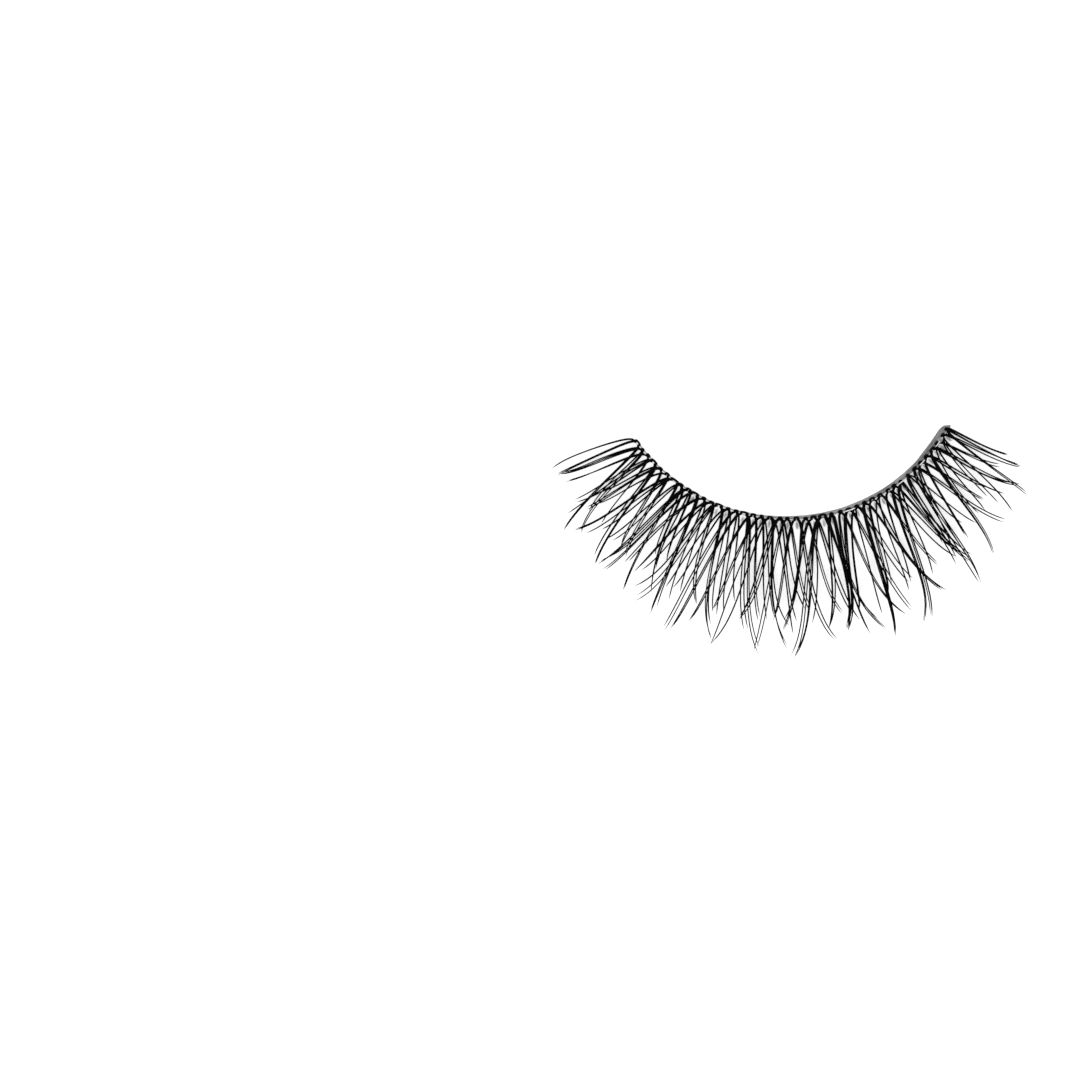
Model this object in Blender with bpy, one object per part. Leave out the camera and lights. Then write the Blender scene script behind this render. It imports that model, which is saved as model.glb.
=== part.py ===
"""One false eyelash strip, lying on a table with its curled tips upwards.

The strip is a clear band, bent to the curve of an eyelid, with a row of knots along it. Two locks of hair
leave each knot: one sweeps towards the inner corner of the eye and one towards the outer corner, so
neighbouring locks cross in a row of diamonds before their tips gather in points.

The origin is on the underside of the band, at the middle of its curve. +X runs along the band to the outer
corner, the hairs point towards -Y, and +Z is up from the table.
"""

import math
from collections import namedtuple

import bmesh
import bpy
from mathutils import Vector

MM = 0.001

# Driving dimensions of the band
BAND_CURVE_RADIUS = 16.5 * MM
BAND_INNER_END = -15.65 * MM
BAND_OUTER_END = 17.35 * MM
BAND_THICKNESS = 0.18 * MM
BAND_INNER_ROUNDING = 0.30 * MM
BAND_OUTER_ROUNDING = 0.90 * MM
BAND_STATIONS = 56

# Driving dimensions of the knots and the thread that joins them
FIRST_KNOT = -15.40 * MM
KNOT_PITCH = 0.769 * MM
KNOT_OUT = -0.03 * MM
KNOT_RADIUS = 0.17 * MM
KNOT_HALF_LENGTH = 0.24 * MM
KNOT_SHOULDER = 0.13 * MM
THREAD_RADIUS = 0.06 * MM
FIT_GAP = 0.03 * MM
KNOT_HEIGHT = BAND_THICKNESS + FIT_GAP + KNOT_RADIUS

# Driving dimensions of the locks. The outward-leaning layer lies on the table, the inward-leaning one a step
# above it, so that crossing locks pass over each other and only meet in their knots
LOCK_RADIUS = 0.145 * MM
LOCK_TIP_RADIUS = 0.025 * MM
LOCK_ROOT_SHARE = 0.65
ROOT_CROSSING = 0.05 * MM
LAYER_STEP = 0.31 * MM
LAYERS_PARTED = 0.40 * MM
LAID_DOWN = 1.10 * MM
TABLE_CLEARANCE = 0.01 * MM

# The curl, as if the hair had been set round a rod, and the small hook in each lock's sweep
CURL_START = 2.0 * MM
CURL_REACH = 11.6 * MM
CURL_RISE = 4.2 * MM
TIP_HOOK = 0.15

# The band's width beside its middle line: away from the hairs (back) and towards them (front)
BandWidth = namedtuple("BandWidth", "along back front")
BAND_WIDTHS_MM = [
    BandWidth(-15.7, 0.13, 0.22),
    BandWidth(-4.0, 0.14, 0.24),
    BandWidth(2.5, 0.22, 0.28),
    BandWidth(9.0, 0.28, 0.30),
    BandWidth(14.0, 0.40, 0.30),
    BandWidth(17.4, 0.48, 0.30),
]

# The two locks of each knot, from the inner corner to the outer one: how far the tip lies along the band
# from the knot, and how far it reaches out from the band, seen from above
Locks = namedtuple("Locks", "inner_shift inner_reach outer_shift outer_reach")
LOCKS_MM = [
    Locks(1.8, 7.4, 1.4, 9.7),
    Locks(1.9, 6.4, 1.4, 8.8),
    Locks(2.2, 7.0, 1.1, 7.0),
    Locks(1.6, 7.3, 1.6, 9.9),
    Locks(1.6, 7.0, 1.4, 7.5),
    Locks(2.2, 6.1, 1.2, 7.8),
    Locks(2.7, 9.0, 1.4, 10.4),
    Locks(1.8, 7.7, 2.0, 9.3),
    Locks(2.0, 9.4, 1.2, 6.4),
    Locks(2.4, 9.9, 1.0, 11.3),
    Locks(2.4, 8.3, 1.2, 8.2),
    Locks(2.4, 8.5, 1.6, 8.7),
    Locks(2.3, 10.6, 2.1, 11.3),
    Locks(1.5, 8.1, 1.3, 9.1),
    Locks(1.8, 11.8, 1.4, 7.6),
    Locks(2.3, 11.5, 2.3, 11.8),
    Locks(2.3, 10.3, 1.4, 9.0),
    Locks(2.0, 8.9, 1.1, 8.8),
    Locks(2.4, 11.7, 1.5, 11.3),
    Locks(1.9, 9.1, 1.3, 8.9),
    Locks(1.7, 11.7, 1.1, 8.1),
    Locks(1.5, 8.8, 1.7, 10.8),
    Locks(1.9, 9.4, 1.6, 8.7),
    Locks(2.5, 9.7, 1.4, 8.8),
    Locks(2.7, 12.1, 1.3, 11.0),
    Locks(1.5, 9.8, 1.4, 10.9),
    Locks(1.5, 9.9, 1.9, 10.3),
    Locks(2.0, 10.3, 1.5, 10.2),
    Locks(1.9, 8.8, 1.6, 7.8),
    Locks(1.3, 12.0, 1.9, 10.0),
    Locks(1.5, 8.0, 1.4, 10.1),
    Locks(1.9, 7.4, 1.0, 7.9),
    Locks(1.6, 8.0, 1.4, 8.2),
    Locks(2.8, 11.8, 1.1, 9.3),
    Locks(3.0, 11.7, 0.7, 10.0),
    Locks(1.1, 8.7, 1.3, 7.1),
    Locks(1.5, 11.5, 1.7, 8.8),
    Locks(1.9, 9.2, 1.2, 6.2),
    Locks(1.9, 7.6, 1.5, 7.3),
    Locks(2.2, 10.1, 1.6, 7.8),
    Locks(1.8, 6.8, 1.2, 5.7),
    Locks(1.3, 9.0, 1.1, 7.2),
    Locks(0.8, 9.0, 0.6, 5.8),
]

KNOT_PLACES = [FIRST_KNOT + KNOT_PITCH * number for number in range(len(LOCKS_MM))]

# Where a lock has its cross sections: close together at the root, then evenly to the tip
ROOT_STATIONS = [0.0, 0.38 * MM, 0.85 * MM]
FREE_STATIONS = 5


def on_strip(along, out, height):
    """The point at a distance along the band, out from its middle line and up from the table."""
    turn = along / BAND_CURVE_RADIUS
    radius = BAND_CURVE_RADIUS + out
    return Vector((radius * math.sin(turn), BAND_CURVE_RADIUS - radius * math.cos(turn), height))


def smooth_step(share):
    """0 before 0, 1 after 1, and a smooth rise between."""
    share = min(max(share, 0.0), 1.0)
    return share * share * (3 - 2 * share)


def make_material(name, colour, roughness, alpha=1.0):
    """A Principled material in one colour."""
    material = bpy.data.materials.new(name)
    material.use_nodes = True
    shader = material.node_tree.nodes["Principled BSDF"]
    shader.inputs["Base Color"].default_value = (*colour, 1.0)
    shader.inputs["Roughness"].default_value = roughness
    shader.inputs["Metallic"].default_value = 0.0
    shader.inputs["Alpha"].default_value = alpha
    return material


def make_collection(name):
    """A new collection, linked to the scene."""
    collection = bpy.data.collections.new(name)
    bpy.context.scene.collection.children.link(collection)
    return collection


def band_width(along):
    """The band's back and front widths at a place along it, read from the table and rounded at the ends."""
    place = along / MM
    for low, high in zip(BAND_WIDTHS_MM, BAND_WIDTHS_MM[1:]):
        if place <= high.along:
            break
    blend = smooth_step((place - low.along) / (high.along - low.along))
    back = (low.back + (high.back - low.back) * blend) * MM
    front = (low.front + (high.front - low.front) * blend) * MM
    middle = (front - back) / 2
    half = (front + back) / 2
    for distance, rounding in (
        (along - BAND_INNER_END, BAND_INNER_ROUNDING),
        (BAND_OUTER_END - along, BAND_OUTER_ROUNDING),
    ):
        if distance < rounding:
            half *= math.sqrt(max(1 - (1 - distance / rounding) ** 2, 0.0))
    return half - middle, half + middle


def band_stations():
    """Places along the band from end to end, closer together where its ends are rounded."""
    places = []
    for step in range(BAND_STATIONS + 1):
        share = (1 - math.cos(math.pi * step / BAND_STATIONS)) / 2
        places.append(BAND_INNER_END + (BAND_OUTER_END - BAND_INNER_END) * share)
    return places


def make_band(collection):
    """The clear band: a flat outline along the curve of the eyelid, given its thickness."""
    stations = band_stations()
    outline = [on_strip(place, band_width(place)[1], 0) for place in stations]
    outline += [on_strip(place, -band_width(place)[0], 0) for place in reversed(stations[1:-1])]

    curve = bpy.data.curves.new("clear_band", "CURVE")
    curve.dimensions = "2D"
    curve.fill_mode = "BOTH"
    curve.extrude = BAND_THICKNESS / 2
    spline = curve.splines.new("POLY")
    spline.points.add(len(outline) - 1)
    for point, place in zip(spline.points, outline):
        point.co = (place.x, place.y, 0, 1)
    spline.use_cyclic_u = True

    band = bpy.data.objects.new("clear_band", curve)
    band.location.z = BAND_THICKNESS / 2
    band.data.materials.append(make_material("clear_band", (0.72, 0.74, 0.77), 0.25, 0.55))
    collection.objects.link(band)
    return band


def lay_height(out):
    """Height of a lower lock's middle: from its knot over the band to the table, then up with the curl."""
    on_table = LOCK_RADIUS + TABLE_CLEARANCE
    drop = smooth_step(out / LAID_DOWN)
    curl = max(out - CURL_START, 0) / (CURL_REACH - CURL_START)
    return KNOT_HEIGHT + (on_table - KNOT_HEIGHT) * drop + CURL_RISE * curl ** 2


def shift_share(share):
    """The part of a lock's shift made by a share of its reach: steep at the knot, hooked at the tip."""
    return (1 - TIP_HOOK) * math.sqrt(share) + TIP_HOOK * share ** 4


def lock_points(knot, side, shift, reach, layer):
    """Middle points and radii of one lock, from inside its knot to its tip."""
    stations = list(ROOT_STATIONS)
    for step in range(1, FREE_STATIONS + 1):
        stations.append(stations[2] + (reach - stations[2]) * step / FREE_STATIONS)
    points = []
    for out in stations:
        share = out / reach
        along = knot + side * (shift * shift_share(share) - ROOT_CROSSING)
        lift = layer * LAYER_STEP * smooth_step(out / LAYERS_PARTED)
        swell = LOCK_ROOT_SHARE + (1 - LOCK_ROOT_SHARE) * smooth_step(out / LAID_DOWN)
        radius = LOCK_TIP_RADIUS + (LOCK_RADIUS - LOCK_TIP_RADIUS) * swell * (1 - share ** 2)
        points.append((on_strip(along, out + KNOT_OUT, lay_height(out) + lift), radius))
    return points


def add_tube(curve, points):
    """A run of a curve through points that each have a radius."""
    spline = curve.splines.new("POLY")
    spline.points.add(len(points) - 1)
    for point, (place, radius) in zip(spline.points, points):
        point.co = (*place, 1)
        point.radius = radius


def tubes_to_mesh(name, runs, roundness, collection):
    """One mesh object of closed tubes, one for each run of points, with 4 + 2 x roundness sides."""
    curve = bpy.data.curves.new(name, "CURVE")
    curve.dimensions = "3D"
    curve.bevel_depth = 1.0
    curve.bevel_resolution = roundness
    curve.use_fill_caps = True
    for points in runs:
        add_tube(curve, points)
    holder = bpy.data.objects.new(name + "_curve", curve)
    collection.objects.link(holder)
    bpy.context.view_layer.update()
    evaluated = holder.evaluated_get(bpy.context.evaluated_depsgraph_get())
    mesh = bpy.data.meshes.new_from_object(evaluated)
    bpy.data.objects.remove(holder)

    shell = bmesh.new()
    shell.from_mesh(mesh)
    bmesh.ops.remove_doubles(shell, verts=shell.verts, dist=0.0001 * MM)
    bmesh.ops.recalc_face_normals(shell, faces=shell.faces)
    shell.to_mesh(mesh)
    shell.free()
    tubes = bpy.data.objects.new(name, mesh)
    collection.objects.link(tubes)
    return tubes


def thread_points():
    """Middle points and radii of the thread, which swells at each knot."""
    profile = (
        (-KNOT_HALF_LENGTH, THREAD_RADIUS),
        (-KNOT_SHOULDER, KNOT_RADIUS),
        (KNOT_SHOULDER, KNOT_RADIUS),
        (KNOT_HALF_LENGTH, THREAD_RADIUS),
    )
    points = []
    for knot in KNOT_PLACES:
        for step, radius in profile:
            points.append((on_strip(knot + step, KNOT_OUT, KNOT_HEIGHT), radius))
    return points


def make_fringe(collection, helpers):
    """The thread, its knots and all the locks, fused into one body."""
    fringe = tubes_to_mesh("lash_fringe", [thread_points()], 1, collection)
    runs = []
    for knot, locks in zip(KNOT_PLACES, LOCKS_MM):
        runs.append(lock_points(knot, -1, locks.inner_shift * MM, locks.inner_reach * MM, 1))
        runs.append(lock_points(knot, 1, locks.outer_shift * MM, locks.outer_reach * MM, 0))
    hair = tubes_to_mesh("locks", runs, 0, helpers)
    hair.hide_render = True
    hair.display_type = "WIRE"

    fuse = fringe.modifiers.new("fuse_locks", "BOOLEAN")
    fuse.operation = "UNION"
    fuse.object = hair
    fuse.use_self = True
    fringe.data.materials.append(make_material("lash_hair", (0.012, 0.011, 0.011), 0.42))
    return fringe


for leftover in list(bpy.data.objects):
    bpy.data.objects.remove(leftover)
strip = make_collection("false_eyelash_strip")
shaping = make_collection("shaping")
make_band(strip)
make_fringe(strip, shaping)
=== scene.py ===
"""The looks of a false eyelash strip that lies on a table with its curled tips upwards.

Lengths are in metres, and a value whose name ends in MM is in millimetres. A place on the strip is given by
its distance along the band from the middle, its distance out from the band towards the tips, and its height
over the table.
"""

import math
from collections import namedtuple

import bpy
import numpy as np
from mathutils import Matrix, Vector, noise


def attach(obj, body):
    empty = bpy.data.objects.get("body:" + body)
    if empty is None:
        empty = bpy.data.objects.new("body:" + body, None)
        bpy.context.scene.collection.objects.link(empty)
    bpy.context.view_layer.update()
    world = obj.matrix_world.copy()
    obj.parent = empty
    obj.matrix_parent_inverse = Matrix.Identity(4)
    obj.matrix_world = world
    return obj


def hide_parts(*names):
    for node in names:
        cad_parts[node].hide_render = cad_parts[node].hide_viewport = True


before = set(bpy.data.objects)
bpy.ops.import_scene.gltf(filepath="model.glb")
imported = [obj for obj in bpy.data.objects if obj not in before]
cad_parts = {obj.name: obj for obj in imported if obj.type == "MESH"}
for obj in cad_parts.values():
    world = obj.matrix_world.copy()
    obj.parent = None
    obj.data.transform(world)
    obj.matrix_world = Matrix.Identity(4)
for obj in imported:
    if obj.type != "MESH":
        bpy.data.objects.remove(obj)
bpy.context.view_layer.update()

MM = 0.001


# Clear band.
# A flat strip of clear, slightly smoky plastic film, cut narrow at the inner corner of the eye and wide at
# the outer one, and bent to the curve of the eyelid. It takes the glue, and the knots are pressed onto it.

BAND_CURVE_RADIUS = 16.5 * MM
BAND_INNER_END = -15.65 * MM
BAND_OUTER_END = 17.40 * MM
BAND_THICKNESS = 0.18 * MM
BAND_EDGE = 0.045 * MM
BAND_EDGE_STEPS = 3
BAND_EDGE_ANGLE = math.radians(50)
BLANK_WIDTH = 1.0 * MM
CUTS_ACROSS = 219
CUTS_ALONG = 5
SHARP_ANGLE = math.radians(60)
NEVER_SHARP = math.radians(180)

# The film's edges wave a little, and its top is domed and dimpled. A ROW is where in the noise a movement is
# read, so that no two move alike
BAND_WAVE = 0.022 * MM
BAND_WAVE_LENGTH = 1.1 * MM
BAND_WAVE_ROW = 3.0
BAND_DOME = 0.030 * MM
BAND_DIMPLES = BAND_DOME / 2
BAND_DIMPLE_LENGTH = 0.6 * MM
BAND_DIMPLE_ROW = 9.0

BandWidth = namedtuple("BandWidth", "along back front")
BAND_WIDTHS_MM = [
    BandWidth(-15.7, 0.13, 0.22),
    BandWidth(-4.0, 0.14, 0.24),
    BandWidth(2.5, 0.18, 0.27),
    BandWidth(9.0, 0.22, 0.27),
    BandWidth(12.5, 0.29, 0.25),
    BandWidth(15.0, 0.45, 0.24),
    BandWidth(16.4, 0.48, 0.30),
    BandWidth(17.4, 0.48, 0.38),
]

# The rounding of the band's back and front corners at an end, and how far out the end's nose lies. The
# bluntness keeps the very end from coming to nothing
BandEnd = namedtuple("BandEnd", "back_rounding front_rounding nose")
INNER_END = BandEnd(0.30 * MM, 0.30 * MM, 0.045 * MM)
OUTER_END = BandEnd(1.05 * MM, 0.35 * MM, 0.20 * MM)
END_BLUNTNESS = 0.002

# The film is clear at the inner corner and smoky from the middle on. It is thinner in one patch, and
# smokiest just before it clears again at the outer end
SMOKY_FROM = -6.0 * MM
SMOKY_TO = 3.5 * MM
THIN_PATCH_MM = 5.3
THIN_PATCH_REACH_MM = 2.4
CORNER_SMOKE_FROM_MM = 11.0
CORNER_SMOKE_TO_MM = 13.5
CORNER_CLEARS_FROM_MM = 14.6
CORNER_CLEARS_TO_MM = 16.2
CORNER_CLEARS_BY = 0.7
FILM_SHADES = [(0.34, (0.15, 0.152, 0.158)), (0.50, (0.31, 0.313, 0.320)), (0.66, (0.64, 0.645, 0.655))]


def smooth_step(share):
    """0 before 0, 1 after 1, and a smooth rise between, for a number or an array."""
    share = np.clip(share, 0.0, 1.0)
    return share * share * (3 - 2 * share)


def on_strip(along, out, height):
    """The point at a distance along the band, out from its middle line and up from the table."""
    turn = along / BAND_CURVE_RADIUS
    radius = BAND_CURVE_RADIUS + out
    x = radius * np.sin(turn)
    y = BAND_CURVE_RADIUS - radius * np.cos(turn)
    return np.stack(np.broadcast_arrays(x, y, height), axis=-1)


def rounded(distance, rounding):
    """Nearly 0 at an end and 1 past its rounding, along a quarter of an ellipse."""
    return math.sqrt(max(1 - max(1 - distance / rounding, 0) ** 2, END_BLUNTNESS))


def band_width(along):
    """The band's back and front widths at a place along it, rounded at its two ends."""
    for low, high in zip(BAND_WIDTHS_MM, BAND_WIDTHS_MM[1:]):
        if along / MM <= high.along:
            break
    blend = float(smooth_step((along / MM - low.along) / (high.along - low.along)))
    back = (low.back + (high.back - low.back) * blend) * MM
    front = (low.front + (high.front - low.front) * blend) * MM
    for distance, end in ((along - BAND_INNER_END, INNER_END), (BAND_OUTER_END - along, OUTER_END)):
        back = (back + end.nose) * rounded(distance, end.back_rounding) - end.nose
        front = (front - end.nose) * rounded(distance, end.front_rounding) + end.nose
    return back, front


def start_piece(name):
    """Names the primitive that was just added, and opens it in edit mode with all of it selected."""
    piece = bpy.context.active_object
    piece.name = name
    piece.data.name = name
    bpy.ops.object.transform_apply(location=True, rotation=True, scale=True)
    bpy.ops.object.mode_set(mode="EDIT")
    bpy.ops.mesh.select_all(action="SELECT")
    return piece


def select_edges(piece, wanted):
    """In edit mode, selects only the edges for which wanted(start, end) is true."""
    bpy.ops.mesh.select_all(action="DESELECT")
    bpy.ops.mesh.select_mode(type="EDGE")
    bpy.ops.object.mode_set(mode="OBJECT")
    places = [vertex.co for vertex in piece.data.vertices]
    for edge in piece.data.edges:
        edge.select = wanted(*(places[number] for number in edge.vertices))
    bpy.ops.object.mode_set(mode="EDIT")


def map_along_band(piece):
    """A map in millimetres: how far along the band and how far out from its middle line each corner lies."""
    place = piece.data.uv_layers.new(name="along_band")
    for loop in piece.data.loops:
        x, y = piece.data.vertices[loop.vertex_index].co.xy
        from_centre = BAND_CURVE_RADIUS - y
        out = math.hypot(x, from_centre) - BAND_CURVE_RADIUS
        place.data[loop.index].uv = math.atan2(x, from_centre) * BAND_CURVE_RADIUS / MM, out / MM


def end_piece(piece, smooth_angle):
    """Turns all faces of a piece outwards, and shades it smooth up to an angle."""
    bpy.context.view_layer.objects.active = piece
    bpy.ops.object.mode_set(mode="EDIT")
    bpy.ops.mesh.select_all(action="SELECT")
    bpy.ops.mesh.normals_make_consistent(inside=False)
    bpy.ops.object.mode_set(mode="OBJECT")
    bpy.ops.object.shade_smooth_by_angle(angle=smooth_angle)


class Value:
    """One output of a shader node. An expression on it adds the Math nodes that work it out."""

    def __init__(self, tree, socket):
        self.tree = tree
        self.socket = socket

    def maths(self, operation, first, second):
        """The output of a Math node on two values or numbers."""
        step = self.tree.nodes.new("ShaderNodeMath")
        step.operation = operation
        for place, value in zip(step.inputs, (first, second)):
            if isinstance(value, Value):
                self.tree.links.new(value.socket, place)
            else:
                place.default_value = value
        return Value(self.tree, step.outputs[0])

    def __add__(self, other):
        return self.maths("ADD", self, other)

    __radd__ = __add__

    def __mul__(self, other):
        return self.maths("MULTIPLY", self, other)

    __rmul__ = __mul__

    def __sub__(self, other):
        return self.maths("SUBTRACT", self, other)

    def __rsub__(self, other):
        return self.maths("SUBTRACT", other, self)


class Finish:
    """A material with one Principled shader, and the nodes that feed it."""

    def __init__(self, name):
        self.material = bpy.data.materials.new(name)
        self.material.use_nodes = True
        self.tree = self.material.node_tree
        self.shader = self.tree.nodes["Principled BSDF"]

    def node(self, kind, settings, sockets, output=0):
        """Adds a node, makes its settings, then fills its sockets with links or plain values."""
        made = self.tree.nodes.new(kind)
        for name, value in settings.items():
            if name == "stops":
                for stop, (place, colour) in zip(self.stops(made, len(value)), value):
                    stop.position = place
                    stop.color = (*colour, 1.0)
            else:
                setattr(made, name, value)
        self.fill(made, sockets)
        return Value(self.tree, made.outputs[output])

    def stops(self, ramp, count):
        """The stops of a colour ramp, as many as asked for."""
        while len(ramp.color_ramp.elements) < count:
            ramp.color_ramp.elements.new(1.0)
        return ramp.color_ramp.elements

    def rise(self, value, start, end):
        """0 where the value is below start, 1 where it is above end, and a smooth rise between."""
        return self.node(
            "ShaderNodeMapRange",
            {"interpolation_type": "SMOOTHSTEP"},
            {"Value": value, "From Min": start, "From Max": end},
        )

    def fill(self, node, sockets):
        """Fills a node's sockets, each from a value or with a plain number or colour."""
        for name, value in sockets.items():
            if isinstance(value, Value):
                self.tree.links.new(value.socket, node.inputs[name])
            else:
                node.inputs[name].default_value = value

    def wear(self, *pieces):
        """Puts the finish on pieces as their only material."""
        for piece in pieces:
            piece.data.materials.clear()
            piece.data.materials.append(self.material)


def make_clear_band():
    """A straight strip, cut across many times, given its width and its dome, and bent round the eyelid."""
    length = BAND_OUTER_END - BAND_INNER_END
    middle = (BAND_OUTER_END + BAND_INNER_END) / 2
    bpy.ops.object.select_all(action="DESELECT")
    bpy.ops.mesh.primitive_cube_add(
        size=1, location=(middle, 0, BAND_THICKNESS / 2), scale=(length, BLANK_WIDTH, BAND_THICKNESS)
    )
    band = start_piece("clear_band_film")
    select_edges(band, lambda start, end: abs(start.x - end.x) > length / 2)
    bpy.ops.mesh.subdivide(number_cuts=CUTS_ACROSS)
    select_edges(band, lambda start, end: abs(start.y - end.y) > BLANK_WIDTH / 2)
    bpy.ops.mesh.subdivide(number_cuts=CUTS_ALONG)
    bpy.ops.object.mode_set(mode="OBJECT")
    for vertex in band.data.vertices:
        along, across, height = vertex.co
        back, front = band_width(along)
        share = across / BLANK_WIDTH + 0.5
        wave = noise.noise(Vector((along / BAND_WAVE_LENGTH, round(share), BAND_WAVE_ROW)))
        out = -back + (back + front) * share + BAND_WAVE * wave * (2 * share - 1)
        if height > BAND_THICKNESS / 2:
            dimple = noise.noise(Vector((along / BAND_DIMPLE_LENGTH, share * 2, BAND_DIMPLE_ROW)))
            height -= BAND_DOME * (2 * share - 1) ** 2
            height -= BAND_DIMPLES * (1 + dimple)
        vertex.co = on_strip(along, out, height)
    end_piece(band, NEVER_SHARP)
    bevel = band.modifiers.new("rolled_edge", "BEVEL")
    bevel.width = BAND_EDGE
    bevel.segments = BAND_EDGE_STEPS
    bevel.limit_method = "ANGLE"
    bevel.angle_limit = BAND_EDGE_ANGLE
    bpy.ops.object.modifier_apply(modifier=bevel.name)
    end_piece(band, SHARP_ANGLE)
    map_along_band(band)
    return band


def smoky_film():
    """Clear plastic that looks grey on white: cloudy and streaked in places, with a glossy face."""
    film = Finish("smoky_film")
    place = film.node("ShaderNodeTexCoord", {}, {}, "Object")
    sideways = film.node("ShaderNodeSeparateXYZ", {}, {"Vector": place}, "X")
    drawn = film.node("ShaderNodeUVMap", {"uv_map": "along_band"}, {})
    along = film.node("ShaderNodeSeparateXYZ", {}, {"Vector": drawn}, "X")
    from_patch = along - THIN_PATCH_MM
    thin = 1 - film.rise(from_patch * from_patch, 0.0, THIN_PATCH_REACH_MM ** 2)
    cleared = film.rise(along, CORNER_CLEARS_FROM_MM, CORNER_CLEARS_TO_MM) * CORNER_CLEARS_BY
    smoke = film.rise(along, CORNER_SMOKE_FROM_MM, CORNER_SMOKE_TO_MM) * (1 - cleared)
    outer = film.rise(sideways, SMOKY_FROM, SMOKY_TO)
    pulled = film.node("ShaderNodeMapping", {}, {"Vector": drawn, "Scale": (0.8, 9.0, 1.0)})
    streak = film.node("ShaderNodeTexNoise", {}, {"Vector": pulled, "Scale": 1.0, "Detail": 3.0})
    cloud = film.node("ShaderNodeTexNoise", {}, {"Vector": place, "Scale": 1100.0, "Detail": 4.0})
    ripple = film.node("ShaderNodeTexNoise", {}, {"Vector": place, "Scale": 5200.0, "Detail": 3.0})
    shade = film.node(
        "ShaderNodeValToRGB",
        {"stops": FILM_SHADES},
        {"Fac": streak * 0.65 + cloud * 0.25 + ripple * 0.10 - smoke * 0.11},
    )
    bump = film.node(
        "ShaderNodeBump", {}, {"Height": streak * 0.5 + ripple * 0.5, "Strength": 0.5, "Distance": 0.03 * MM}
    )
    film.fill(
        film.shader,
        {
            "Base Color": shade,
            "Alpha": 0.04 + outer * (0.50 + streak * 0.40) + cloud * 0.10 + smoke * 0.14 - thin * 0.20,
            "Roughness": 0.12 + ripple * 0.22,
            "Normal": bump,
            "IOR": 1.48,
            "Specular IOR Level": 0.5,
            "Coat Weight": 0.3,
        },
    )
    return film


clear_band = make_clear_band()
smoky_film().wear(clear_band)
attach(clear_band, "root")
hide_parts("clear_band")


# Knotting threads.
# Two fine clear nylon filaments run the length of the band. The hairs are tied round the first one, on top
# of the band, and the second lies along the band's front edge and passes over a lock here and there.

KNOT_HEIGHT = 0.38 * MM
KNOT_OUT_AT_WIDEST = 0.10 * MM
WIDENS_FROM = -2.0 * MM
WIDENS_TO = 4.5 * MM
CORNER_FROM = 11.0 * MM
CORNER_TO = 13.5 * MM
CORNER_DROP = 0.65
TIE_THREAD_RADIUS = 0.050 * MM
EDGE_THREAD_RADIUS = 0.045 * MM
EDGE_THREAD_PAST_KNOTS = 0.15 * MM
EDGE_THREAD_LOW = 0.215 * MM
EDGE_THREAD_HIGH = 0.68 * MM
WEAVE_LENGTH = 1.25 * MM
WEAVE_ROW = (4.0, 2.0)
WEAVE_STEEPNESS = 3.0
WEAVE_MORE_OVER = 0.2
THREAD_FROM = -15.45 * MM
THREAD_TO = 17.05 * MM
THREAD_SIDES = 10
THREAD_STEPS = 260
THREAD_WANDER = 0.014 * MM
THREAD_WANDER_LENGTH = 1.3 * MM
THREAD_WANDER_SEED = 7
# The clear nylon's shades colour both the nylon and its glow, which is a painted highlight
CLEAR_NYLON_AND_GLOW_SHADES = [(0.30, (0.80, 0.81, 0.82)), (0.70, (0.96, 0.96, 0.96))]
SMOKY_NYLON_SHADES = [(0.30, (0.16, 0.162, 0.168)), (0.70, (0.40, 0.405, 0.415))]


def widening(along):
    """0 along the inner half of the strip and 1 along the outer half, with a smooth change between."""
    return smooth_step((along - WIDENS_FROM) / (WIDENS_TO - WIDENS_FROM))


def outer_part(along):
    """The same, but less again at the outer corner, where the knots sit further back on the film."""
    corner = smooth_step((along - CORNER_FROM) / (CORNER_TO - CORNER_FROM))
    return widening(along) * (1 - CORNER_DROP * corner)


def knot_out(along):
    """How far out from the band's middle line the knots sit: a little further where the film is wide."""
    return KNOT_OUT_AT_WIDEST * outer_part(along)


def edge_height(along):
    """Height of the edge thread: on the film, or over the hairs where it weaves over them."""
    weave = noise.noise(Vector((along / WEAVE_LENGTH, *WEAVE_ROW)))
    over = smooth_step(WEAVE_STEEPNESS * weave + WEAVE_MORE_OVER)
    return EDGE_THREAD_LOW + (EDGE_THREAD_HIGH - EDGE_THREAD_LOW) * float(over * widening(along))


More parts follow.
